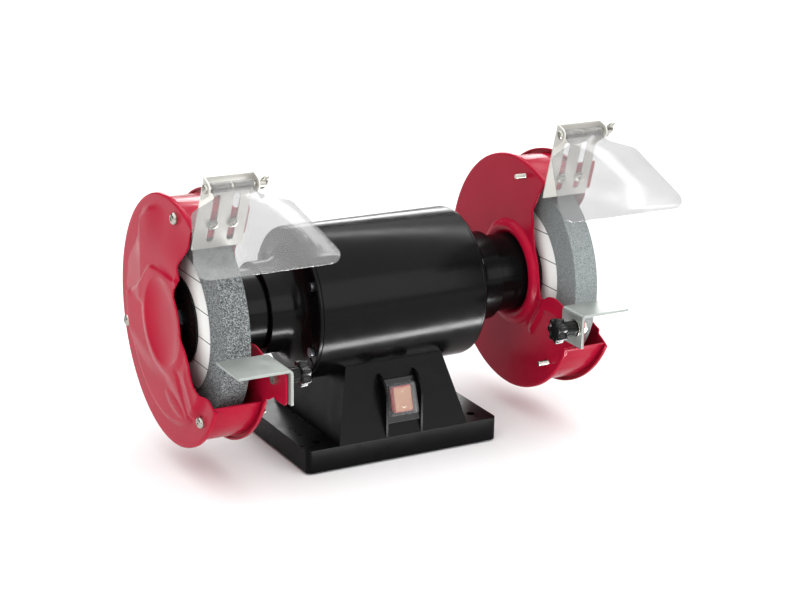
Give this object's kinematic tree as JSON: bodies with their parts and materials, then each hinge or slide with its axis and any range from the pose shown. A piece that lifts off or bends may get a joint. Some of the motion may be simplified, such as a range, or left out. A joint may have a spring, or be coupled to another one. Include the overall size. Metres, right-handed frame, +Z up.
{
  "type": "bench grinder",
  "caption": "Double-ended bench grinder: a pedestal motor turns two guarded wheels with tool rests, spark deflectors and clear hinged eye shields.",
  "frame": {"origin": "middle of the four bench bolt holes, on the bench surface under the rubber feet", "axes": "+X along the spindle to the operator's right, +Y away from the operator, +Z up"},
  "size_m": [0.4946, 0.2993, 0.3126],
  "materials": {
    "black_paint": "gloss",
    "red_paint": "gloss",
    "pale_plate": "satin",
    "zinc_steel": "satin",
    "dark_steel": "satin",
    "ground_steel": "polished",
    "core_steel": "matte",
    "copper_wire": "satin",
    "coarse_stone": "rough",
    "fine_stone": "rough",
    "paper_label": "matte",
    "black_rubber": "matte",
    "black_plastic": "gloss",
    "white_plastic": "matte",
    "red_plastic": "gloss",
    "clear_boot": "gloss",
    "clear_shield": "gloss"
  },
  "bodies": {
    "stand": {"base_casting": "black_paint", "bottom_plate": "dark_steel", "bottom_plate_screws": "zinc_steel", "rubber_feet": "black_rubber", "motor_mounting_screws": "zinc_steel", "motor_tube": "black_paint", "left_end_shield": "black_paint", "right_end_shield": "black_paint", "tie_bolts": "zinc_steel", "stator_core": "core_steel", "stator_windings": "copper_wire", "bearing_outer_rings": "ground_steel", "bearing_balls": "ground_steel", "wave_washer": "zinc_steel", "capacitor": "white_plastic", "capacitor_clip": "zinc_steel", "terminal_block": "white_plastic", "cable_gland": "black_plastic", "switch_frame": "black_plastic", "switch_boot": "clear_boot", "left_guard_housing": "red_paint", "right_guard_housing": "red_paint", "left_guard_cover": "red_paint", "right_guard_cover": "red_paint", "left_cover_screws": "zinc_steel", "right_cover_screws": "zinc_steel", "guard_mounting_screws": "zinc_steel", "left_deflector_screws": "zinc_steel", "right_deflector_screws": "zinc_steel", "left_rest_bolt": "zinc_steel", "right_rest_bolt": "zinc_steel", "rest_washers": "zinc_steel"},
    "rotor": {"spindle": "ground_steel", "rotor_core": "core_steel", "bearing_inner_rings": "ground_steel", "left_wheel": "coarse_stone", "right_wheel": "fine_stone", "left_wheel_bush": "zinc_steel", "right_wheel_bush": "zinc_steel", "left_wheel_labels": "paper_label", "right_wheel_labels": "paper_label", "left_wheel_flanges": "black_paint", "right_wheel_flanges": "black_paint", "left_spindle_nut": "dark_steel", "right_spindle_nut": "dark_steel"},
    "rocker": {"switch_rocker": "red_plastic"},
    "left_deflector": {"left_spark_deflector": "pale_plate", "left_shield_bolt": "zinc_steel"},
    "left_shield": {"left_eye_shield": "clear_shield"},
    "left_wing": {"left_wing_nut": "zinc_steel"},
    "left_rest": {"left_tool_rest": "pale_plate"},
    "left_knob": {"left_rest_knob": "black_plastic"},
    "right_deflector": {"right_spark_deflector": "pale_plate", "right_shield_bolt": "zinc_steel"},
    "right_shield": {"right_eye_shield": "clear_shield"},
    "right_wing": {"right_wing_nut": "zinc_steel"},
    "right_rest": {"right_tool_rest": "pale_plate"},
    "right_knob": {"right_rest_knob": "black_plastic"}
  },
  "joints": [
    {"name": "spindle_spin", "type": "hinge", "parent": "stand", "child": "rotor", "pos_m": [0, -0.0065, 0.146], "axis": [1, 0, 0], "continuous": true},
    {"name": "switch_rock", "type": "hinge", "parent": "stand", "child": "rocker", "pos_m": [0, -0.07091, 0.05722], "axis": [1, 0, 0], "range_deg": [-7, 0]},
    {"name": "left_deflector_slide", "type": "slide", "parent": "stand", "child": "left_deflector", "axis": [0, -0.3907, 0.9205], "range_m": [-0.0025, 0.0155]},
    {"name": "left_shield_swing", "type": "hinge", "parent": "left_deflector", "child": "left_shield", "pos_m": [-0.1856, -0.10409, 0.29352], "axis": [-1, 0, 0], "range_deg": [-32, 84]},
    {"name": "left_wing_turn", "type": "hinge", "parent": "left_deflector", "child": "left_wing", "pos_m": [-0.1856, -0.10409, 0.29352], "axis": [1, 0, 0], "range_deg": [0, 360]},
    {"name": "left_rest_slide", "type": "slide", "parent": "stand", "child": "left_rest", "axis": [0, 1, 0], "range_m": [-0.009, 0.003]},
    {"name": "left_knob_turn", "type": "hinge", "parent": "stand", "child": "left_knob", "pos_m": [-0.14, -0.1335, 0.1245], "axis": [1, 0, 0], "range_deg": [0, 720]},
    {"name": "right_deflector_slide", "type": "slide", "parent": "stand", "child": "right_deflector", "axis": [0, -0.2756, 0.9613], "range_m": [-0.009, 0.009]},
    {"name": "right_shield_swing", "type": "hinge", "parent": "right_deflector", "child": "right_shield", "pos_m": [0.176, -0.09762, 0.30386], "axis": [-1, 0, 0], "range_deg": [-33, 85]},
    {"name": "right_wing_turn", "type": "hinge", "parent": "right_deflector", "child": "right_wing", "pos_m": [0.176, -0.09762, 0.30386], "axis": [1, 0, 0], "range_deg": [0, 360]},
    {"name": "right_rest_slide", "type": "slide", "parent": "stand", "child": "right_rest", "axis": [0, 1, 0], "range_m": [-0.011, 0.001]},
    {"name": "right_knob_turn", "type": "hinge", "parent": "stand", "child": "right_knob", "pos_m": [0.14, -0.1335, 0.1245], "axis": [1, 0, 0], "range_deg": [0, 720]}
  ]
}
